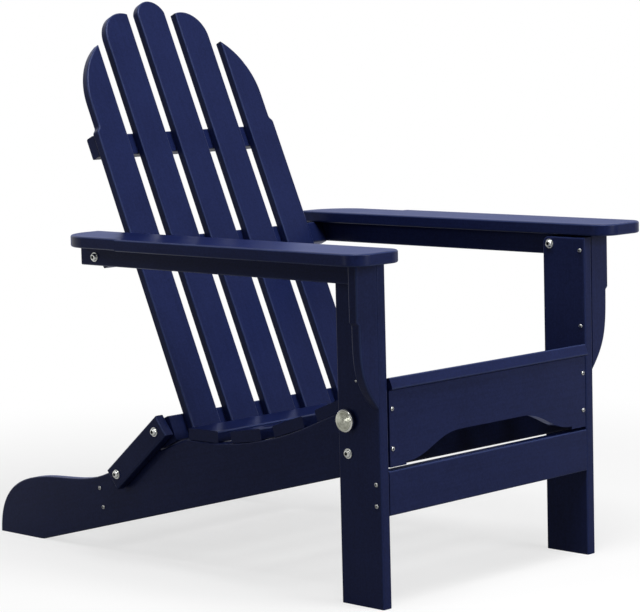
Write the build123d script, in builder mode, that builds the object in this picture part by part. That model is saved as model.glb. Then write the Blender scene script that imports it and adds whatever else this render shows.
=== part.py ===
from build123d import *
import os
from math import cos, radians, sin, tan

# A folding garden chair of plastic boards. +X is the viewer's right, the front faces -Y, the floor is Z = 0.
# Distances marked "back" are measured rearward from the front faces of the legs.

# Boards and clearances
board = 19.0
back_board = 16.0
edge_round = 3.0
slip = 0.5
bolt_play = 0.1

# Overall places
overall_depth = 993.0
arm_overhang = 45.0
side_span = 476.0

# Seat: a straight front stretch, then an arc with its lowest place near the back
seat_slope = 22.0
seat_radius = 654.0
seat_low_back = 420.0
seat_low_height = 213.0
slat_width = 70.0
slat_gap = 31.4
slat_overhang = 8.0
slat_end_gap = 2.5
seat_slats = 5
seat_rear_land = 5.0

# Side boards: "run" is measured forward from the end of the tail
under_slope = 14.6
tail_flat = 119.0
tail_knee_run = 289.0
tail_knee_drop = 80.3
tail_crown_run = 98.0
tail_crown_drop = 26.5

# Apron and stretchers
apron_bottom = 215.0
apron_flat_end = 36.0
apron_step = 4.5
apron_arch_half = 76.0
apron_arch_rise = 38.0
stretcher_width = 69.0
stretcher_gap = 5.0
rear_stretcher_back = 10.0
rear_stretcher_rise = 50.3

# Legs, arms and brackets
leg_depth = 87.0
leg_top_gap = 3.5
leg_top_round = 12.0
arm_width = 109.0
arm_underside = 528.5
arm_shoulder_run = 165.0
arm_shoulder_step = 11.0
arm_front_round = 32.0
arm_rear_round = 71.0
rail_depth = 35.0
rail_rear_margin = 35.0
rail_front_margin = 5.0
bracket_reach = 43.5
bracket_shoulder_drop = 85.0
bracket_step = 8.0
bracket_length = 222.0
bracket_foot_steepness = 1.4

# Back: "drop" is measured down the slats from the top of the middle one
back_tilt = 24.0
back_length = 783.2
back_slats = 5
back_slat_gap = 24.4
back_side_gap = 11.5
back_seat_gap = 8.5
back_foot_rise = 1.5
back_rail_width = 38.0
lower_rail_size = 44.0
upper_rail_drop = 259.5
upper_rail_inset = 1.0
crown_edge_drop = 22.6
crown_round = 12.0
inner_near_drop = 24.0
inner_far_drop = 70.6
outer_near_drop = 80.5
waist_drop = 185.0
shoulder_drop = 238.6
shoulder_step = 7.0
shoulder_round = 8.0

# Rear links, pivots and hardware
link_width = 39.0
link_end = 18.0
leg_pivot_back = 66.0
leg_pivot_rise = 34.3
arm_pivot_back = 72.0
arm_pivot_drop = 15.5
brace_pivot_drop = 20.7
lower_pivot_up = 26.0
lower_pivot_depth = 23.0
link_pivot_run = 54.0
link_pivot_drop = 12.4
bolt_d = 8.0
bolt_end_wall = 5.0
head_flange_d = 15.5
head_flange = 1.6
head_d = 12.6
head_height = 4.4
head_flat_d = 7.6
head_edge_slope = 0.4
socket_size = 5.0
socket_depth = 2.6
head_slip = 0.2
knob_rise = 51.0
knob_d = 35.0
knob_neck_d = 20.0
knob_neck = 3.0
knob_rim = 5.0
knob_edge = 1.5
knob_crown = 1.5
knob_boss_d = 9.0

# Layers on each side, from the middle outward
side_out = side_span / 2
side_in = side_out - board
leg_in = side_out + slip
leg_out = leg_in + board
rail_in = leg_out + slip
rail_out = rail_in + board

# Places that follow from these, front to back
front = arm_overhang - overall_depth / 2
tail_end = overall_depth - arm_overhang
heel_back = tail_end - tail_flat
tail_knee_back = tail_end - tail_knee_run
slat_length = 2 * (leg_in - slat_end_gap)
bolt_grip = board - bolt_end_wall

os.makedirs("parts", exist_ok=True)
sides = (("left", -1), ("right", 1))


def save(piece, name):
    piece.part.label = name
    export_step(piece.part, f"parts/{name}.step")


def yz(back, height):
    """A place in the side view: distance behind the legs' front faces, and height."""
    return (front + back, height)


# The seat's line, along which the slats lie
slope = radians(seat_slope)
arc_start_back = seat_low_back - seat_radius * sin(slope)
arc_start_height = seat_low_height + seat_radius * (1 - cos(slope))
straight_run = (arc_start_back + slat_overhang) / cos(slope)


def seat_line(run):
    """The place on the seat's line at a run measured from the front slat's lower front edge."""
    if run < straight_run:
        back = run * cos(slope) - slat_overhang
        return yz(back, arc_start_height + (arc_start_back - back) * tan(slope))
    turn = slope - (run - straight_run) / seat_radius
    return yz(seat_low_back - seat_radius * sin(turn), seat_low_height + seat_radius * (1 - cos(turn)))


seat_run = seat_slats * slat_width + (seat_slats - 1) * slat_gap + seat_rear_land
seat_rear = seat_line(seat_run)
apron_rear_run = (board + slat_overhang) / cos(slope)
side_front_top = seat_line(apron_rear_run)
heel = yz(heel_back, 0)
tail_knee = yz(tail_knee_back, seat_rear[1] - tail_knee_drop)
tail_crown = yz(tail_end - tail_crown_run, tail_knee[1] - tail_crown_drop)


def under_edge(back):
    """The height of the side boards' sloping lower edge."""
    return (heel_back - back) * tan(radians(under_slope))


# Pivots in the side view
leg_pivot = yz(leg_pivot_back, under_edge(leg_pivot_back) + leg_pivot_rise)
knob_place = (leg_pivot[0], leg_pivot[1] + knob_rise)
arm_pivot = yz(arm_pivot_back, arm_underside - arm_pivot_drop)
fall_slope = tail_knee_drop / (tail_knee[0] - seat_rear[0])
link_pivot = (
    tail_knee[0] - link_pivot_run,
    tail_knee[1] + link_pivot_run * fall_slope - link_pivot_drop,
)

# The back's own plane, from the slats' feet: local X across, local Y up, local Z out of their front faces
tilt = radians(back_tilt)
back_half = side_in - back_side_gap
back_slat_width = (2 * back_half - (back_slats - 1) * back_slat_gap) / back_slats
back_slat_pitch = back_slat_width + back_slat_gap


def back_face(across):
    """The plane of the slats' front faces, with its origin moved across the chair."""
    return Plane(
        origin=(across, seat_rear[0] + back_seat_gap, seat_rear[1] + back_foot_rise),
        x_dir=(1, 0, 0),
        z_dir=(0, -cos(tilt), sin(tilt)),
    )


back_plane = back_face(0)
rail_plane = back_plane.offset(-back_board)
brace_core = back_board + board / 2
brace_height = arm_underside - brace_pivot_drop
brace_center = (brace_height - back_plane.origin.Z + brace_core * sin(tilt)) / cos(tilt)
upper_rail_center = back_length - upper_rail_drop


def back_pivot(up, depth):
    """The side-view place this far up the back and this deep behind the slats' rear faces."""
    point = rail_plane.from_local_coords((0, up, -depth))
    return (point.Y, point.Z)


brace_pivot = back_pivot(brace_center, board / 2)
lower_pivot = back_pivot(lower_pivot_up, lower_pivot_depth)

# Side boards
for side, sign in sides:
    with BuildPart() as side_board:
        with BuildSketch(Plane.YZ.offset(sign * side_in)):
            with BuildLine():
                Line(yz(board, under_edge(board)), side_front_top)
                Line(side_front_top, seat_line(straight_run))
                ThreePointArc(
                    seat_line(straight_run), seat_line((straight_run + seat_run) / 2), seat_rear
                )
                fall = Line(seat_rear, tail_knee)
                Spline(tail_knee, tail_crown, yz(tail_end, 0), tangents=[fall % 1, (0, -1)])
                Line(yz(tail_end, 0), heel)
                Line(heel, yz(board, under_edge(board)))
            make_face()
        extrude(amount=sign * board)
        outline = side_board.edges().filter_by(Plane.YZ)
        fillet(outline.filter_by(lambda edge: edge.center().Z > edge_round), edge_round)
        with BuildSketch(Plane.YZ.offset(sign * side_out)):
            with Locations(leg_pivot, link_pivot):
                Circle(bolt_d / 2)
        extrude(amount=-sign * bolt_grip, mode=Mode.SUBTRACT)
    save(side_board, f"side_board_{side}")

# Seat slats, each lying on the seat's line by its two lower edges
for number in range(seat_slats):
    run = number * (slat_width + slat_gap)
    fore, aft = seat_line(run), seat_line(run + slat_width)
    middle = ((fore[0] + aft[0]) / 2, (fore[1] + aft[1]) / 2)
    with BuildPart() as seat_slat:
        rise = (0, fore[1] - aft[1], aft[0] - fore[0])
        with BuildSketch(Plane(origin=(0, *middle), x_dir=(1, 0, 0), z_dir=rise)):
            Rectangle(slat_length, slat_width)
        extrude(amount=board)
        fillet(seat_slat.edges().filter_by(Axis.X), edge_round)
    save(seat_slat, f"seat_slat_{number + 1}")

# Apron: its top is bevelled to lie under the front slat, its lower edge has a flat-topped arch
apron_front_top = seat_line(slat_overhang / cos(slope))
with BuildPart() as apron:
    with BuildSketch(Plane.YZ):
        with BuildLine():
            Polyline(
                yz(0, apron_bottom), yz(board, apron_bottom), side_front_top, apron_front_top, close=True
            )
        make_face()
    extrude(amount=slat_length / 2, both=True)
    arch_foot = slat_length / 2 - apron_flat_end
    arch_spring = apron_bottom + apron_step
    with BuildSketch(Plane.XZ.offset(-front)):
        with BuildLine():
            Polyline((-arch_foot, apron_bottom - board), (-arch_foot, arch_spring))
            Spline(
                (-arch_foot, arch_spring),
                (-apron_arch_half, apron_bottom + apron_arch_rise),
                tangents=[(1, 0), (1, 0)],
            )
            Line(
                (-apron_arch_half, apron_bottom + apron_arch_rise),
                (apron_arch_half, apron_bottom + apron_arch_rise),
            )
            Spline(
                (apron_arch_half, apron_bottom + apron_arch_rise),
                (arch_foot, arch_spring),
                tangents=[(1, 0), (1, 0)],
            )
            Polyline(
                (arch_foot, arch_spring),
                (arch_foot, apron_bottom - board),
                (-arch_foot, apron_bottom - board),
            )
        make_face()
    extrude(amount=-board, mode=Mode.SUBTRACT)
save(apron, "apron")

# Rear stretcher, square to the side boards' lower edge
lean = radians(under_slope)
stretcher_back = tail_knee_back + rear_stretcher_back
stretcher_place = yz(stretcher_back, under_edge(stretcher_back) + rear_stretcher_rise)
with BuildPart() as rear_stretcher:
    with BuildSketch(
        Plane(origin=(0, *stretcher_place), x_dir=(1, 0, 0), z_dir=(0, -cos(lean), sin(lean)))
    ):
        Rectangle(2 * side_in, stretcher_width)
    extrude(amount=board / 2, both=True)
    fillet(rear_stretcher.edges().filter_by(Axis.X), edge_round)
save(rear_stretcher, "rear_stretcher")

# Legs, each with its rear top corner rounded to turn under the arm
leg_height = arm_underside - leg_top_gap
for side, sign in sides:
    with BuildPart() as leg:
        with BuildSketch(Plane.YZ.offset(sign * leg_in)) as leg_outline:
            with BuildLine():
                Polyline(yz(0, 0), yz(leg_depth, 0), yz(leg_depth, leg_height), yz(0, leg_height), close=True)
            make_face()
            fillet(leg_outline.vertices().sort_by_distance(yz(leg_depth, leg_height))[0], leg_top_round)
        extrude(amount=sign * board)
        fillet(leg.edges().filter_by(Axis.Z), edge_round)
        with BuildSketch(Plane.YZ.offset(sign * leg_in)):
            with Locations(leg_pivot, knob_place, arm_pivot):
                Circle(bolt_d / 2 + bolt_play)
        extrude(amount=sign * board, mode=Mode.SUBTRACT)
    save(leg, f"leg_{side}")

# Front stretcher between the legs, just below the apron
stretcher_top = apron_bottom - stretcher_gap
stretcher_bottom = stretcher_top - stretcher_width
with BuildPart() as front_stretcher:
    with BuildSketch(Plane.YZ):
        with BuildLine():
            Polyline(
                yz(0, stretcher_bottom),
                yz(board, stretcher_bottom),
                yz(board, stretcher_top),
                yz(0, stretcher_top),
                close=True,
            )
        make_face()
    extrude(amount=leg_in, both=True)
    fillet(front_stretcher.edges().filter_by(Axis.X), edge_round)
save(front_stretcher, "front_stretcher")

# Brackets on the legs' outer faces, under the front of the arms
bracket_top = arm_underside - slip
bracket_shoulder = bracket_top - bracket_shoulder_drop
for side, sign in sides:
    with BuildPart() as bracket:
        wide = sign * (leg_out + bracket_reach)
        narrow = sign * (leg_out + bracket_reach - bracket_step)
        root = sign * leg_out
        with BuildSketch(Plane.XZ.offset(-front)):
            with BuildLine():
                Polyline(
                    (root, bracket_top - bracket_length),
                    (root, bracket_top),
                    (wide, bracket_top),
                    (wide, bracket_shoulder),
                    (narrow, bracket_shoulder - bracket_step),
                )
                Spline(
                    (narrow, bracket_shoulder - bracket_step),
                    (root, bracket_top - bracket_length),
                    tangents=[(0, -1), (-sign, -bracket_foot_steepness)],
                )
            make_face()
        extrude(amount=-board)
    save(bracket, f"bracket_{side}")

# Arm rails, on edge under the arms
rail_front = board + rail_front_margin
rail_rear = brace_pivot[0] - front + rail_rear_margin
for side, sign in sides:
    with BuildPart() as arm_rail:
        with BuildSketch(Plane.YZ.offset(sign * rail_in)):
            with BuildLine():
                Polyline(
                    yz(rail_front, arm_underside - rail_depth),
                    yz(rail_rear, arm_underside - rail_depth),
                    yz(rail_rear, arm_underside),
                    yz(rail_front, arm_underside),
                    close=True,
                )
            make_face()
        extrude(amount=sign * board)
        low_edges = arm_rail.edges().filter_by(Axis.Y).group_by(Axis.Z)[0]
        fillet(low_edges, edge_round)
        with BuildSketch(Plane.YZ.offset(sign * rail_in)):
            with Locations(brace_pivot):
                Circle(bolt_d / 2 + bolt_play)
        extrude(amount=sign * board, mode=Mode.SUBTRACT)
    save(arm_rail, f"arm_rail_{side}")

# Arm boards
for side, sign in sides:
    with BuildPart() as arm:
        inner, outer = sign * leg_in, sign * (leg_in + arm_width)
        stepped = sign * (leg_in + arm_width - arm_shoulder_step)
        arm_tip, arm_end = front - arm_overhang, front + rail_rear
        shoulder = arm_end - arm_shoulder_run
        with BuildSketch(Plane.XY.offset(arm_underside)) as arm_outline:
            with BuildLine():
                Polyline(
                    (inner, arm_tip),
                    (outer, arm_tip),
                    (outer, shoulder),
                    (stepped, shoulder),
                    (stepped, arm_end),
                    (inner, arm_end),
                    close=True,
                )
            make_face()
            corners = arm_outline.vertices()
            fillet(corners.group_by(Axis.Y)[0], arm_front_round)
            fillet(arm_outline.vertices().sort_by_distance((stepped, arm_end))[0], arm_rear_round)
            fillet(arm_outline.vertices().sort_by_distance((inner, arm_end))[0], edge_round)
        extrude(amount=board)
        top_edges = arm.faces().sort_by(Axis.Z)[-1].edges()
        low_edges = arm.faces().sort_by(Axis.Z)[0].edges()
        fillet(top_edges + low_edges, edge_round)
    save(arm, f"arm_{side}")

# Back slats, with tops that make a fan: outlines about each slat's centre line, for the left half
half_slat = back_slat_width / 2
crown_edge = back_length - crown_edge_drop
inner_near = back_length - inner_near_drop
inner_far = back_length - inner_far_drop
outer_near = back_length - outer_near_drop
shoulder_low = back_length - shoulder_drop
shoulder_high = shoulder_low + shoulder_step
waist = -half_slat + shoulder_step
waist_high = back_length - waist_drop
slat_shoulder = ((waist - half_slat) / 2, (shoulder_low + shoulder_high) / 2)


def centre_outline():
    Line((-half_slat, 0), (-half_slat, crown_edge))
    ThreePointArc((-half_slat, crown_edge), (0, back_length), (half_slat, crown_edge))
    Line((half_slat, crown_edge), (half_slat, 0))


def inner_outline():
    Line((half_slat, 0), (half_slat, inner_near))
    TangentArc((-half_slat, inner_far), (half_slat, inner_near), tangent=(0, 1))
    Line((-half_slat, inner_far), (-half_slat, 0))


def outer_outline():
    Line((half_slat, 0), (half_slat, outer_near))
    TangentArc((waist, waist_high), (half_slat, outer_near), tangent=(0, 1))
    Polyline(
        (waist, waist_high),
        (waist, shoulder_high),
        (-half_slat, shoulder_low),
        (-half_slat, 0),
    )


slat_outlines = (centre_outline, inner_outline, outer_outline)
middle_slat = len(slat_outlines)
for place, outline in enumerate(slat_outlines):
    with BuildPart() as back_slat:
        with BuildSketch(back_face(-place * back_slat_pitch)) as slat_face:
            with BuildLine():
                outline()
                Line((-half_slat, 0), (half_slat, 0))
            make_face()
            if outline is centre_outline:
                fillet(slat_face.vertices().group_by(Axis.Y)[-1], crown_round)
            if outline is outer_outline:
                fillet(slat_face.vertices().sort_by_distance(slat_shoulder)[:2], shoulder_round)
        extrude(amount=-back_board)
        broad = back_slat.faces().sort_by(Axis((0, 0, 0), tuple(back_plane.z_dir)))
        fillet(broad[0].edges() + broad[-1].edges(), edge_round)
    save(back_slat, f"back_slat_{middle_slat - place}")
    if place > 0:
        with BuildPart() as twin_slat:
            mirror(back_slat.part, about=Plane.YZ)
        save(twin_slat, f"back_slat_{middle_slat + place}")

# Back cross rails behind the slats
lower_center = lower_rail_size / 2
cross_rails = (
    ("upper_rail", upper_rail_center, back_rail_width, board, back_half - upper_rail_inset, None),
    ("arm_brace", brace_center, back_rail_width, board, rail_in - slip, brace_pivot),
    ("lower_rail", lower_center, lower_rail_size, lower_rail_size, leg_in - slip, lower_pivot),
)
for name, center, width, thickness, half_length, pivot in cross_rails:
    with BuildPart() as cross_rail:
        with BuildSketch(rail_plane):
            with Locations((0, center)):
                Rectangle(2 * half_length, width)
        extrude(amount=-thickness)
        fillet(cross_rail.edges().filter_by(Axis.X), edge_round)
        if pivot:
            for sign in (-1, 1):
                with BuildSketch(Plane.YZ.offset(sign * half_length)):
                    with Locations(pivot):
                        Circle(bolt_d / 2)
                extrude(amount=-sign * bolt_grip, mode=Mode.SUBTRACT)
    save(cross_rail, name)

# Rear links between the side boards and the lower rail
link_run = (lower_pivot[0] - link_pivot[0], lower_pivot[1] - link_pivot[1])
link_span = (link_run[0] ** 2 + link_run[1] ** 2) ** 0.5
link_middle = ((lower_pivot[0] + link_pivot[0]) / 2, (lower_pivot[1] + link_pivot[1]) / 2)
for side, sign in sides:
    with BuildPart() as link:
        link_plane = Plane(
            origin=(sign * leg_in, *link_middle), x_dir=(0, *link_run), z_dir=(sign, 0, 0)
        )
        with BuildSketch(link_plane):
            Rectangle(link_span + 2 * link_end, link_width)
            with Locations((-link_span / 2, 0), (link_span / 2, 0)):
                Circle(bolt_d / 2 + bolt_play, mode=Mode.SUBTRACT)
        extrude(amount=board)
        broad = link.faces().sort_by(Axis.X)
        fillet(broad[0].outer_wire().edges() + broad[-1].outer_wire().edges(), edge_round)
    save(link, f"link_{side}")


def bolt_outline(grip):
    """Half outline of a button-head bolt: its head seats at zero and its shank runs to -grip."""
    crown = head_flange + head_height
    Polyline(
        (crown, 0),
        (-grip, 0),
        (-grip, bolt_d / 2),
        (0, bolt_d / 2),
        (0, head_flange_d / 2),
        (head_flange, head_flange_d / 2),
        (head_flange, head_d / 2),
    )
    Spline((head_flange, head_d / 2), (crown, head_flat_d / 2), tangents=[(1, 0), (head_edge_slope, -1)])
    Line((crown, head_flat_d / 2), (crown, 0))


# Pivot bolts: each pair is one node, with its heads on the board that turns under them
head_seat = leg_out + head_slip
bolt_pairs = (
    ("leg_bolts", leg_pivot, head_seat, 1, side_out - bolt_grip),
    ("link_lower_bolts", link_pivot, head_seat, 1, side_out - bolt_grip),
    ("link_upper_bolts", lower_pivot, head_seat, 1, leg_in - slip - bolt_grip),
    ("arm_front_bolts", arm_pivot, leg_in, -1, leg_out),
    ("arm_rear_bolts", brace_pivot, rail_out + head_slip, 1, rail_in - slip - bolt_grip),
)
for name, place, seat, outward, tip in bolt_pairs:
    with BuildPart() as bolts:
        for side, sign in sides:
            facing = sign * outward
            bolt_plane = Plane(
                origin=(sign * seat, *place), x_dir=(facing, 0, 0), z_dir=(0, -facing, 0)
            )
            with BuildSketch(bolt_plane):
                with BuildLine():
                    bolt_outline(abs(seat - tip))
                make_face()
            revolve(axis=Axis(bolt_plane.origin, bolt_plane.x_dir))
            crown = sign * seat + facing * (head_flange + head_height)
            with BuildSketch(Plane(origin=(crown, *place), x_dir=(0, 1, 0), z_dir=(facing, 0, 0))):
                RegularPolygon(socket_size / 2, 6, major_radius=False)
            extrude(amount=-socket_depth, mode=Mode.SUBTRACT)
    save(bolts, name)

# Locking knobs: a turned disc on a stud that passes through the leg and bears on the side board
knob_height = knob_neck + knob_rim + knob_edge + knob_crown
for side, sign in sides:
    knob_plane = Plane(
        origin=(sign * (leg_out + slip), *knob_place), x_dir=(sign, 0, 0), z_dir=(0, -sign, 0)
    )
    with BuildPart() as knob:
        with BuildSketch(knob_plane):
            with BuildLine():
                Polyline(
                    (-board - slip, 0),
                    (-board - slip, bolt_d / 2),
                    (0, bolt_d / 2),
                    (0, knob_neck_d / 2),
                    (knob_neck, knob_neck_d / 2),
                    (knob_neck, knob_d / 2 - knob_edge),
                    (knob_neck + knob_edge, knob_d / 2),
                    (knob_neck + knob_rim, knob_d / 2),
                    (knob_neck + knob_rim + knob_edge, knob_d / 2 - knob_edge),
                    (knob_height, knob_boss_d / 2),
                    (knob_height, 0),
                    close=True,
                )
            make_face()
        revolve(axis=Axis(knob_plane.origin, knob_plane.x_dir))
    save(knob, f"knob_{side}")
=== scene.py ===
import math

import bmesh
import bpy
from mathutils import Matrix, Vector
from mathutils.geometry import interpolate_bezier


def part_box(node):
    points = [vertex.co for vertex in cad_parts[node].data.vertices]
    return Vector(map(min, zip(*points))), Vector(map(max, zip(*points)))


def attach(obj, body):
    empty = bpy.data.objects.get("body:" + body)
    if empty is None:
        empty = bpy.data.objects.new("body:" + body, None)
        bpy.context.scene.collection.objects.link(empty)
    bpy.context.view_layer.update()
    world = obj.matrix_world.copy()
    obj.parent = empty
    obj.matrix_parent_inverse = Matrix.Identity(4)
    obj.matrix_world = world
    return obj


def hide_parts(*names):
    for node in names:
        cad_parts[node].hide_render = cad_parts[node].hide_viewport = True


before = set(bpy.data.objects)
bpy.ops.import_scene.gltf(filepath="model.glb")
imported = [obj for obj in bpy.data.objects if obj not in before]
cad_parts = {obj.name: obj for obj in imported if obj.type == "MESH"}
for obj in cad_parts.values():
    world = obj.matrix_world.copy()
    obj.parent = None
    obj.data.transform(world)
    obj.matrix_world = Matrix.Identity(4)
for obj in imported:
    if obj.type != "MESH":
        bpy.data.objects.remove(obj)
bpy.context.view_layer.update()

# Places on the chair, in metres, as the model has them
leg_front = -0.4515
board = 0.019
leg_inner = 0.2385
leg_outer = leg_inner + board
side_outer = 0.238
back_foot = Vector((0, 0.009089, 0.215288))
back_tilt = math.radians(24)
up_back = Vector((0, math.sin(back_tilt), math.cos(back_tilt)))
out_back = Vector((0, math.cos(back_tilt), -math.sin(back_tilt)))
slat_pitch = 0.0879
slat_half = 0.03175

# Directions in which the boards were extruded
across = Vector((1, 0, 0))
lengthways = Vector((0, 1, 0))
upright = Vector((0, 0, 1))
link_way = Vector((0, -0.771, 0.637))
tail_way = Vector((0, 0.968, -0.252))

# How far the faces of the seat slats lean, from the front one, and of the rear stretcher, in degrees
seat_leans = (22.0, 22.0, 18.5, 9.6, 0.7)
stretcher_lean = 14.6


class Wire:
    """A socket of one material's tree, or the bare tree, from which sums and nodes are made."""

    def __init__(self, tree, socket=None):
        self.tree = tree
        self.socket = socket

    def node(self, kind, settings=None, inputs=None, output=0):
        made = self.tree.nodes.new(kind)
        for name, value in (settings or {}).items():
            setattr(made, name, value)
        for name, value in (inputs or {}).items():
            if isinstance(value, Wire):
                self.tree.links.new(value.socket, made.inputs[name])
            else:
                made.inputs[name].default_value = value
        return Wire(self.tree, made.outputs[output])

    def sum(self, operation, first, second):
        return self.node("ShaderNodeMath", {"operation": operation}, {0: first, 1: second})

    def __add__(self, other):
        return self.sum("ADD", self, other)

    def __radd__(self, other):
        return self.sum("ADD", other, self)

    def __sub__(self, other):
        return self.sum("SUBTRACT", self, other)

    def __rsub__(self, other):
        return self.sum("SUBTRACT", other, self)

    def __mul__(self, other):
        return self.sum("MULTIPLY", self, other)

    def __rmul__(self, other):
        return self.sum("MULTIPLY", other, self)


def new_material(name):
    material = bpy.data.materials.new(name)
    material.use_nodes = True
    material.node_tree.nodes.clear()
    return material, Wire(material.node_tree)


def blend(bench, share, low, high):
    """A colour that goes from low to high as share goes from 0 to 1."""
    return bench.node("ShaderNodeMix", {"data_type": "RGBA"}, {0: share, 6: low, 7: high}, 2)


def ramp_between(bench, value, low, high):
    """0 below low, 1 above high, with a smooth rise between them."""
    rise = {"interpolation_type": "SMOOTHSTEP"}
    return bench.node("ShaderNodeMapRange", rise, {"Value": value, "From Min": low, "From Max": high})


def noise(bench, place, scale, detail=2.0, roughness=0.5):
    inputs = {"Vector": place, "Scale": scale, "Detail": detail, "Roughness": roughness}
    return bench.node("ShaderNodeTexNoise", None, inputs)


def finish_material(bench, shader):
    output = bench.tree.nodes.new("ShaderNodeOutputMaterial")
    bench.tree.links.new(shader.socket, output.inputs["Surface"])


navy_deep = (0.0062, 0.0102, 0.0480, 1)
navy_plain = (0.0110, 0.0178, 0.0760, 1)
navy_chalk = (0.0152, 0.0262, 0.1130, 1)
# Paler navy painted on the rounded edges as a highlight
navy_painted_highlight = (0.0340, 0.0500, 0.1380, 1)
navy_gloss = (0.30, 0.42, 1.00, 1)


def poly_lumber(name, along, broad, painted_highlight_share):
    """Navy plastic lumber: a skin drawn out along the board, faint streaks, and a paler navy painted along
    the rounded edges as a highlight.
    """
    material, bench = new_material(name)
    place = bench.node("ShaderNodeTexCoord", None, None, 3)
    facing = bench.node("ShaderNodeTexCoord", None, None, 1)
    turn = across.rotation_difference(along).to_euler()
    drawn = bench.node(
        "ShaderNodeMapping",
        {"vector_type": "TEXTURE"},
        {"Vector": place, "Rotation": turn, "Scale": (1.0, 0.022, 0.022)},
    )
    streaks = noise(bench, drawn, 7.0, 4.0, 0.62)
    hairlines = noise(bench, drawn, 34.0, 2.0, 0.5)
    clouds = noise(bench, place, 11.0, 3.0, 0.55)
    mottle = noise(bench, place, 300.0, 2.0, 0.65)
    pores = noise(bench, place, 620.0, 2.0, 0.6)
    flecks = ramp_between(bench, noise(bench, place, 1400.0, 1.0, 0.5), 0.66, 0.76)
    level = bench.node("ShaderNodeSeparateXYZ", None, {0: facing}, 2)
    # Paler on faces that point up, more the further up they point
    upward_share = ramp_between(bench, level, 0.35, 0.95)
    square = bench.node("ShaderNodeVectorMath", {"operation": "DOT_PRODUCT"}, {0: facing, 1: broad}, 1)
    square = bench.node("ShaderNodeMath", {"operation": "ABSOLUTE"}, {0: square})
    # routed: the rounded edges between a board's faces, where a paler navy is painted on as a highlight
    routed = ramp_between(bench, square, 0.10, 0.40) * (1 - ramp_between(bench, square, 0.86, 0.985))
    tone = clouds * 0.35 + streaks * 0.40 + mottle * 0.85 - 0.32
    colour = blend(bench, ramp_between(bench, tone, 0.18, 0.78), navy_deep, navy_plain)
    scratches = ramp_between(bench, hairlines, 0.62, 0.8)
    chalk = upward_share * (0.06 + clouds * 0.14) + flecks * 0.25 + scratches * 0.12
    colour = blend(bench, chalk, colour, navy_chalk)
    # Painted highlight: the paler navy laid along the rounded edges
    colour = blend(bench, routed * (0.42 + clouds * 0.40) * painted_highlight_share, colour, navy_painted_highlight)
    rough = 0.28 + clouds * 0.08 + streaks * 0.06 - flecks * 0.05 - routed * 0.06
    relief = streaks * 0.5 + hairlines * 0.22 + pores * 0.35
    glancing = ramp_between(bench, bench.node("ShaderNodeLayerWeight", None, {"Blend": 0.5}, 1), 0.72, 0.92)
    bump = bench.node(
        "ShaderNodeBump", None, {"Strength": 0.22, "Distance": 0.0006, "Height": relief}
    )
    skin = bench.node("ShaderNodeBsdfPrincipled", None, {
        "Base Color": colour, "Metallic": glancing * 0.5, "Roughness": rough, "Normal": bump,
        "Specular IOR Level": 0.04, "Specular Tint": navy_gloss,
        "Coat Weight": (1 - glancing) * 0.25, "Coat Roughness": 0.32,
    })
    finish_material(bench, skin)
    return material


def from_axis(bench, place, centre):
    """The distance from the line along X through a centre."""
    offset = bench.node("ShaderNodeVectorMath", {"operation": "SUBTRACT"}, {0: place, 1: centre})
    flat = bench.node("ShaderNodeVectorMath", {"operation": "MULTIPLY"}, {0: offset, 1: (0, 1, 1)})
    return bench.node("ShaderNodeVectorMath", {"operation": "LENGTH"}, {0: flat}, 1)


steel_dull = (0.80, 0.82, 0.78, 1)
steel_bright = (0.96, 0.97, 0.94, 1)
screw_dull = (0.34, 0.35, 0.35, 1)
screw_bright = (0.70, 0.71, 0.70, 1)
# Near black painted inside sockets and recesses as shade
socket_painted_shade = (0.006, 0.007, 0.006, 1)
socket_reach = 0.0027


def bright_steel(name, dull, bright, centre=None):
    """Stainless steel with faint smears; a bolt's socket and a screw's cross recess are coloured near black
    as painted shade.
    """
    material, bench = new_material(name)
    place = bench.node("ShaderNodeTexCoord", None, None, 3)
    smears = noise(bench, place, 190.0, 3.0, 0.6)
    grit = noise(bench, place, 2600.0, 2.0, 0.6)
    if centre:
        radius = from_axis(bench, place, centre)
        # Painted shade: the inside of the bolt's socket is coloured near black
        socket = 1 - ramp_between(bench, radius, socket_reach - 0.0001, socket_reach + 0.0002)
    else:
        # Painted shade: the faces inside the screw's cross recess are coloured near black
        socket = bench.node("ShaderNodeAttribute", {"attribute_name": "recess"}, None, 2)
    colour = blend(bench, smears, dull, bright)
    # Painted shade in the socket or recess
    colour = blend(bench, socket, colour, socket_painted_shade)
    rough = 0.20 + smears * 0.18 + socket * 0.4
    bump = bench.node("ShaderNodeBump", None, {"Strength": 0.12, "Distance": 0.0001, "Height": grit})
    shine = bench.node(
        "ShaderNodeBsdfPrincipled",
        None,
        {"Base Color": colour, "Metallic": 1.0, "Roughness": rough, "Normal": bump},
    )
    finish_material(bench, shine)
    return material


knob_dull = (0.42, 0.43, 0.34, 1)
knob_bright = (0.80, 0.81, 0.70, 1)
# Near-white painted on the knob's rim as a highlight
knob_rim_highlight = (0.92, 0.92, 0.88, 1)
rim_radius = 0.0152
ring_pitch = 0.0011


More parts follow.
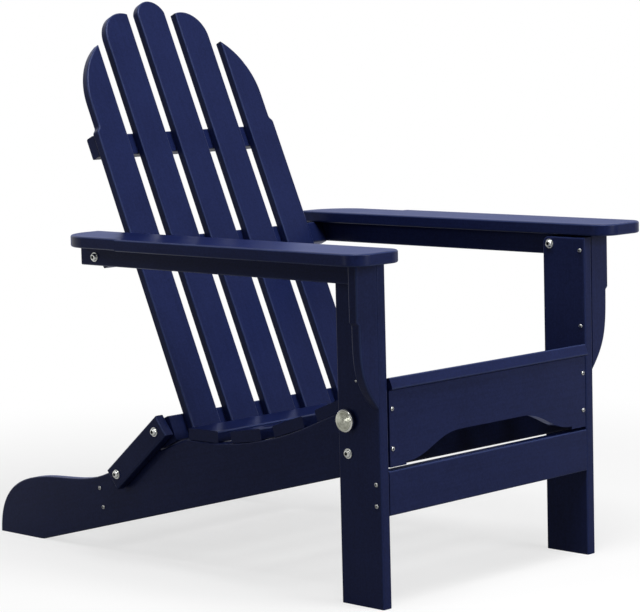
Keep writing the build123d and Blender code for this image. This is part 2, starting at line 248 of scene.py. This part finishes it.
def turned_steel(name, centre):
    """Polished steel of the knobs, with the rings that a lathe leaves around their middle."""
    material, bench = new_material(name)
    place = bench.node("ShaderNodeTexCoord", None, None, 3)
    radius = from_axis(bench, place, centre)
    rings = bench.node("ShaderNodeMath", {"operation": "SINE"}, {0: radius * (2 * math.pi / ring_pitch)})
    bands = noise(bench, bench.node("ShaderNodeCombineXYZ", None, {0: radius}), 420.0, 3.0, 0.6)
    smears = noise(bench, place, 120.0, 3.0, 0.6)
    tone = ramp_between(bench, bands * 0.6 + smears * 0.4, 0.36, 0.64)
    colour = blend(bench, tone, knob_dull, knob_bright)
    # Painted highlight: a near-white ring at the knob's rim
    rim = ramp_between(bench, radius, rim_radius, rim_radius + 0.0006)
    colour = blend(bench, rim * 0.8, colour, knob_rim_highlight)
    relief = rings * 0.5 + bands * 0.8
    bump = bench.node("ShaderNodeBump", None, {"Strength": 0.8, "Distance": 0.00008, "Height": relief})
    shine = bench.node(
        "ShaderNodeBsdfPrincipled",
        None,
        {"Base Color": colour, "Metallic": 1.0, "Roughness": 0.10 + smears * 0.10, "Normal": bump},
    )
    finish_material(bench, shine)
    return material


def leaning(degrees):
    """The direction that leans from upright toward the rear."""
    return Vector((0, math.sin(math.radians(degrees)), math.cos(math.radians(degrees))))


# Finishes on the modelled boards and hardware: the way of the grain, the broad faces, the boards
board_groups = [
    ("slats", up_back, out_back, [f"back_slat_{number}" for number in range(1, 6)]),
    ("cross_rails", across, out_back, ["upper_rail", "arm_brace", "lower_rail"]),
    ("front_boards", across, lengthways, ["apron", "front_stretcher"]),
    ("rear_stretcher", across, leaning(stretcher_lean - 90), ["rear_stretcher"]),
    ("arms", lengthways, upright, ["arm_left", "arm_right"]),
    ("arm_rails", lengthways, across, ["arm_rail_left", "arm_rail_right"]),
    ("sides", tail_way, across, ["side_board_left", "side_board_right"]),
    ("legs", upright, across, ["leg_left", "leg_right"]),
    ("brackets", upright, lengthways, ["bracket_left", "bracket_right"]),
    ("links", link_way, across, ["link_left", "link_right"]),
] + [
    (f"seat_{number}", across, leaning(lean), [f"seat_slat_{number}"])
    for number, lean in enumerate(seat_leans, 1)
]


def dress(node, material):
    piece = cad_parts[node]
    piece.data.materials.clear()
    piece.data.materials.append(material)


def middle(node):
    low, high = (Vector(corner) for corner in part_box(node))
    return (low + high) / 2


# The share of the painted edge highlight that the boards with darker edges show
painted_edge_highlight_shares = {"sides": 0.10, "legs": 0.30}
for group, along, broad, nodes in board_groups:
    lumber = poly_lumber(f"lumber_{group}", along, broad, painted_edge_highlight_shares.get(group, 1.0))
    for node in nodes:
        dress(node, lumber)

for node in ("leg_bolts", "link_lower_bolts", "link_upper_bolts", "arm_front_bolts", "arm_rear_bolts"):
    dress(node, bright_steel(f"{node}_steel", steel_dull, steel_bright, middle(node)))

knob_steel = turned_steel("knob_steel", middle("knob_left"))
for node in ("knob_left", "knob_right"):
    dress(node, knob_steel)

# Small screws: a low domed head with a cross recess, made once and set out in groups
screw_d = 0.0070
screw_rise = 0.0021
screw_sides = 28
recess_length = 0.0046
recess_width = 0.0011
recess_depth = 0.0013
recess_lip = 0.0003
dome_foot = 0.36
seat_share = 0.94
rim_foot = 0.14
dome_steps = 6
spin_step = math.radians(37)
sharp_edge = math.radians(35)


def lathe(profile, sides):
    """A closed form turned about Z from points of radius and height, first and last on the axis."""
    form = bmesh.new()
    rings = []
    for radius, height in profile:
        if radius == 0:
            rings.append([form.verts.new((0, 0, height))] * sides)
            continue
        turn = [2 * math.pi * step / sides for step in range(sides)]
        rings.append([form.verts.new((radius * math.cos(a), radius * math.sin(a), height)) for a in turn])
    for ring, upper in zip(rings, rings[1:]):
        for step in range(sides):
            after = (step + 1) % sides
            corners = (ring[step], ring[after], upper[after], upper[step])
            form.faces.new(dict.fromkeys(corners))
    return form


def block(length, width, low, high):
    form = bmesh.new()
    bmesh.ops.create_cube(form, size=1.0)
    bmesh.ops.scale(form, vec=(length, width, high - low), verts=form.verts)
    bmesh.ops.translate(form, vec=(0, 0, (low + high) / 2), verts=form.verts)
    return form


def as_object(name, form):
    mesh = bpy.data.meshes.new(name)
    form.to_mesh(mesh)
    form.free()
    piece = bpy.data.objects.new(name, mesh)
    bpy.context.scene.collection.objects.link(piece)
    return piece


def smooth(piece):
    piece.data.shade_smooth()
    piece.data.set_sharp_from_angle(angle=sharp_edge)


def worked_mesh(piece):
    """The mesh of a piece after its modifiers."""
    seen = bpy.context.evaluated_depsgraph_get()
    return bpy.data.meshes.new_from_object(piece.evaluated_get(seen))


def screw_head():
    """The mesh of one head, seated on Z = 0 and facing +Z."""
    rim = screw_d / 2
    dome = [
        (rim * math.cos(a), screw_rise * (dome_foot + (1 - dome_foot) * math.sin(a)))
        for a in (math.pi / 2 * step / dome_steps for step in range(dome_steps))
    ]
    seat = [(0, 0), (rim * seat_share, 0), (rim, screw_rise * rim_foot)]
    profile = seat + dome + [(0, screw_rise)]
    head = as_object("head_blank", lathe(profile, screw_sides))
    cutters = []
    for length, width in ((recess_length, recess_width), (recess_width, recess_length)):
        cutter = as_object("recess_blank", block(length, width, screw_rise - recess_depth, 2 * screw_rise))
        cut = head.modifiers.new("recess", "BOOLEAN")
        cut.operation, cut.solver, cut.object = "DIFFERENCE", "EXACT", cutter
        cutters.append(cutter)
    mesh = worked_mesh(head)
    for spare in (head, *cutters):
        bpy.data.objects.remove(spare)
    # Marks the faces inside the cross recess, which are coloured near black as painted shade
    painted_shade_faces = mesh.attributes.new("recess", "FLOAT", "FACE")
    for face in mesh.polygons:
        out = min(1.0, face.center.xy.length / rim)
        skin = screw_rise * (dome_foot + (1 - dome_foot) * math.sqrt(1 - out * out))
        painted_shade_faces.data[face.index].value = float(face.center.z < skin - recess_lip)
    return mesh


head_mesh = screw_head()
screw_steel = bright_steel("screw_steel", screw_dull, screw_bright)


def screws(name, body, places, size=1.0):
    """One group of screws; each place is a point on a board's face and that face's direction."""
    form = bmesh.new()
    for number, (point, facing) in enumerate(places):
        turn = Vector(facing).to_track_quat("Z", "Y").to_matrix().to_4x4()
        spin = Matrix.Rotation(spin_step * number, 4, "Z")
        head = bmesh.new()
        head.from_mesh(head_mesh)
        head.transform(Matrix.Translation(point) @ turn @ spin @ Matrix.Scale(size, 4))
        loose = bpy.data.meshes.new("loose")
        head.to_mesh(loose)
        form.from_mesh(loose)
        head.free()
        bpy.data.meshes.remove(loose)
    piece = as_object(name, form)
    piece.data.materials.append(screw_steel)
    smooth(piece)
    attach(piece, body)


# Where the screws sit: heights over the floor, distances from the middle and behind the legs' fronts
both = (-1, 1)
apron_screw_out = 0.230
apron_screw_heights = (0.304, 0.243)
stretcher_screw_heights = (0.158, 0.191)
tail_screws = ((0.673, 0.108), (0.665, 0.076))
bracket_screw_heights = (0.504, 0.380)
leg_screw_back = 0.047
leg_screw_height = 0.3455
leg_screw_size = 0.55
board_middle = leg_front + board / 2

screws("apron_screws", "seat_frame", [
    ((side * apron_screw_out, leg_front, height), (0, -1, 0))
    for side in both for height in apron_screw_heights
])
screws("front_stretcher_screws", "front_legs", [
    ((side * leg_outer, board_middle, height), (side, 0, 0))
    for side in both for height in stretcher_screw_heights
])
screws("rear_stretcher_screws", "seat_frame", [
    ((side * side_outer, leg_front + back, height), (side, 0, 0))
    for side in both for back, height in tail_screws
])
screws("bracket_screws", "front_legs", [
    ((side * leg_inner, board_middle, height), (-side, 0, 0))
    for side in both for height in bracket_screw_heights
])
screws("leg_screws", "front_legs", [
    ((side * leg_outer, leg_front + leg_screw_back, leg_screw_height), (side, 0, 0)) for side in both
], size=leg_screw_size)

# The slats are held from behind, through the cross rails: how far up the back and out behind its foot
rail_rows = (("upper_rail", 0.5237, 0.035), ("arm_brace", 0.3315, 0.035), ("lower_rail", 0.022, 0.060))
for rail, up, depth in rail_rows:
    row = back_foot + up_back * up + out_back * depth
    screws(f"{rail}_screws", "chair_back", [
        (row + across * (slat * slat_pitch + shift), out_back)
        for slat in range(-2, 3) for shift in (-slat_half / 2, slat_half / 2)
    ])
bpy.data.meshes.remove(head_mesh)


def stand_for(piece, node, body):
    """Finishes a board that is shown in place of a node, in the node's own lumber."""
    piece.data.materials.clear()
    piece.data.materials.append(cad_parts[node].data.materials[0])
    smooth(piece)
    piece.modifiers.new("even_faces", "WEIGHTED_NORMAL").keep_sharp = True
    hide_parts(node)
    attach(piece, body)


# Brackets under the arms: the solids' boards with rounded outer edges and a slightly fuller curve
bracket_shoulder_drop = 0.088
bracket_step = 0.005
bracket_fall = 0.066
bracket_foot_pull = Vector((0.035, 0.040))
bracket_round = 0.004
round_steps = 6
curve_steps = 24


def bracket_outline(reach, length):
    """The points of a bracket's face, outward from the leg and down from the arm."""
    shoulder = Vector((reach - bracket_step, -bracket_shoulder_drop - bracket_step))
    foot = Vector((0, -length))
    fall = shoulder - Vector((0, bracket_fall))
    curve = interpolate_bezier(shoulder, fall, foot + bracket_foot_pull, foot, curve_steps)
    return [Vector((0, 0)), Vector((reach, 0)), Vector((reach, -bracket_shoulder_drop)), *curve]


def routed_bracket(node):
    """A bracket whose outer edges are rounded, where the solid's are sharp."""
    low, high = (Vector(corner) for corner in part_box(node))
    side = math.copysign(1, low.x)
    root = min(low.x, high.x, key=abs)
    outline = bracket_outline(high.x - low.x, high.z - low.z)
    form = bmesh.new()
    front, rear = (
        [form.verts.new((root + side * out, depth, high.z + down)) for out, down in outline]
        for depth in (low.y, high.y)
    )
    form.faces.new(front)
    form.faces.new(rear[::-1])
    for step in range(len(outline)):
        form.faces.new((front[step - 1], rear[step - 1], rear[step], front[step]))
    bmesh.ops.recalc_face_normals(form, faces=form.faces)
    routed = []
    for ring in (front, rear):
        for step in range(1, len(outline) - 1):
            routed.append(form.edges.get((ring[step], ring[step + 1])))
    bmesh.ops.bevel(
        form, geom=routed, offset=bracket_round, segments=round_steps, profile=0.5, affect="EDGES"
    )
    stand_for(as_object(f"routed_{node}", form), node, "front_legs")


for node in ("bracket_left", "bracket_right"):
    routed_bracket(node)

# Side boards: the solids' boards with a fuller shoulder behind the lower rail
shoulder_start = 0.062
shoulder_full = 0.078
shoulder_fade = 0.092
shoulder_end = 0.145
shoulder_rise = 0.0145
shoulder_cuts = 26
rounded_rim = 0.005
same_point = 0.000001
same_slice = 0.00001


def eased(value, low, high):
    share = min(1.0, max(0.0, (value - low) / (high - low)))
    return share * share * (3 - 2 * share)


def shouldered_side(node):
    """A copy of a side board, sliced across and lifted along its top edge."""
    form = bmesh.new()
    form.from_mesh(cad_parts[node].data)
    bmesh.ops.remove_doubles(form, verts=form.verts, dist=same_point)
    for cut in range(shoulder_cuts + 1):
        back = shoulder_start + (shoulder_end - shoulder_start) * cut / shoulder_cuts
        whole = [*form.verts, *form.edges, *form.faces]
        bmesh.ops.bisect_plane(
            form, geom=whole, dist=same_slice, plane_co=lengthways * back, plane_no=lengthways
        )
    slices = {}
    for point in form.verts:
        if shoulder_start < point.co.y < shoulder_end:
            slices.setdefault(round(point.co.y, 5), []).append(point)
    for back, points in slices.items():
        crest = max(point.co.z for point in points)
        lift = eased(back, shoulder_start, shoulder_full) * (1 - eased(back, shoulder_fade, shoulder_end))
        for point in points:
            if point.co.z > crest - rounded_rim:
                point.co.z += shoulder_rise * lift
    piece = as_object(f"shouldered_{node}", form)
    old_normals = piece.data.attributes.get("custom_normal")
    if old_normals:
        piece.data.attributes.remove(old_normals)
    stand_for(piece, node, "seat_frame")


for node in ("side_board_left", "side_board_right"):
    shouldered_side(node)

# Floor, lights and camera
floor_size = 9.0
floor_steps = 24
floor_pale = (0.90, 0.90, 0.90, 1)
floor_paler = (0.94, 0.94, 0.94, 1)
floor_bounce = (0.16, 0.16, 0.16, 1)
room_light = 0.10
white_light = (1, 1, 1, 1)
backdrop_way = Vector((0.71, 0.70, 0))
dark_room = 0.22


def seen_by(bench, backdrop):
    """1 for what the camera sees, straight or mirrored in front of the backdrop, and 0 for other light."""
    path = bench.node("ShaderNodeLightPath").socket.node.outputs
    direct, mirrored, through = (
        Wire(bench.tree, path[ray]) for ray in ("Is Camera Ray", "Is Glossy Ray", "Is Transmission Ray")
    )
    return direct + through + mirrored * backdrop


def toward_backdrop(bench, way, low, high):
    """The share of the white backdrop in a direction, or at a place on the floor."""
    ahead = bench.node("ShaderNodeVectorMath", {"operation": "DOT_PRODUCT"}, {0: way, 1: backdrop_way}, 1)
    return dark_room + (1 - dark_room) * ramp_between(bench, ahead, low, high)


def pale_floor():
    """White near the chair, where it takes the shadow, and plain white light further away."""
    material, bench = new_material("pale_floor")
    place = bench.node("ShaderNodeTexCoord", None, None, 3)
    distance = bench.node("ShaderNodeVectorMath", {"operation": "LENGTH"}, {0: place}, 1)
    shown = seen_by(bench, toward_backdrop(bench, place, -0.2, 0.7))
    chalk = blend(bench, noise(bench, place, 3.0, 3.0), floor_pale, floor_paler)
    chalk = blend(bench, shown, floor_bounce, chalk)
    matt = bench.node("ShaderNodeBsdfDiffuse", None, {"Color": chalk})
    glow = bench.node("ShaderNodeEmission", None, {"Color": white_light, "Strength": 1.0})
    away = (0.68 + ramp_between(bench, distance, 0.7, 1.8) * 0.32) * shown
    finish_material(bench, bench.node("ShaderNodeMixShader", None, {0: away, 1: matt, 2: glow}))
    return material


floor_form = bmesh.new()
bmesh.ops.create_grid(floor_form, x_segments=floor_steps, y_segments=floor_steps, size=floor_size)
floor = as_object("floor", floor_form)
floor.data.materials.append(pale_floor())

world = bpy.data.worlds.new("studio")
bpy.context.scene.world = world
world.use_nodes = True
world.node_tree.nodes.clear()
sky = Wire(world.node_tree)
around = sky.node("ShaderNodeBackground", None, {"Color": white_light, "Strength": room_light})
white = sky.node("ShaderNodeBackground", None, {"Color": white_light, "Strength": 1.0})
shown = seen_by(sky, toward_backdrop(sky, sky.node("ShaderNodeTexCoord"), 0.05, 0.55))
sky_output = world.node_tree.nodes.new("ShaderNodeOutputWorld")
sky_mix = sky.node("ShaderNodeMixShader", None, {0: shown, 1: around, 2: white})
world.node_tree.links.new(sky_mix.socket, sky_output.inputs["Surface"])


def soft_light(name, place, aim, size, power):
    lamp = bpy.data.lights.new(name, "AREA")
    lamp.shape, lamp.size, lamp.energy = "DISK", size, power
    light = bpy.data.objects.new(name, lamp)
    light.location = place
    light.rotation_euler = (Vector(aim) - Vector(place)).to_track_quat("-Z", "Y").to_euler()
    bpy.context.scene.collection.objects.link(light)


chair_middle = (0, -0.05, 0.45)
soft_light("top_light", (-0.45, -1.0, 3.3), chair_middle, 2.0, 98)
soft_light("front_light", (0.6, -3.2, 1.3), chair_middle, 1.6, 47)
soft_light("edge_light", (-3.1, 0.9, 1.75), chair_middle, 0.7, 10.5)
soft_light("low_light", (-3.4, 0.5, 0.30), chair_middle, 0.5, 4)

# Camera at the photograph's viewing angle
frame_width = 640
camera_place = Vector((-2.8908, -2.9199, 0.8692))
view_turn, view_drop, view_roll = (math.radians(angle) for angle in (45.507, 6.226, -1.432))
focal_pixels = 2443.3
shift_pixels = (0.1, -7.67)

level_ahead = Vector((math.sin(view_turn), math.cos(view_turn), 0))
level_right = Vector((math.cos(view_turn), -math.sin(view_turn), 0))
ahead = level_ahead * math.cos(view_drop) - upright * math.sin(view_drop)
level_up = level_right.cross(ahead)
right = level_right * math.cos(view_roll) + level_up * math.sin(view_roll)
upward = right.cross(ahead)
lens = bpy.data.cameras.new("camera")
lens.sensor_width = 36.0
lens.lens = focal_pixels * lens.sensor_width / frame_width
lens.shift_x, lens.shift_y = (pixels / frame_width for pixels in shift_pixels)
lens.clip_end = 60.0
camera = bpy.data.objects.new("camera", lens)
camera_turn = Matrix((right, upward, -ahead)).transposed().to_4x4()
camera.matrix_world = Matrix.Translation(camera_place) @ camera_turn
bpy.context.scene.collection.objects.link(camera)
bpy.context.scene.camera = camera
bpy.context.scene.view_settings.view_transform = "Standard"
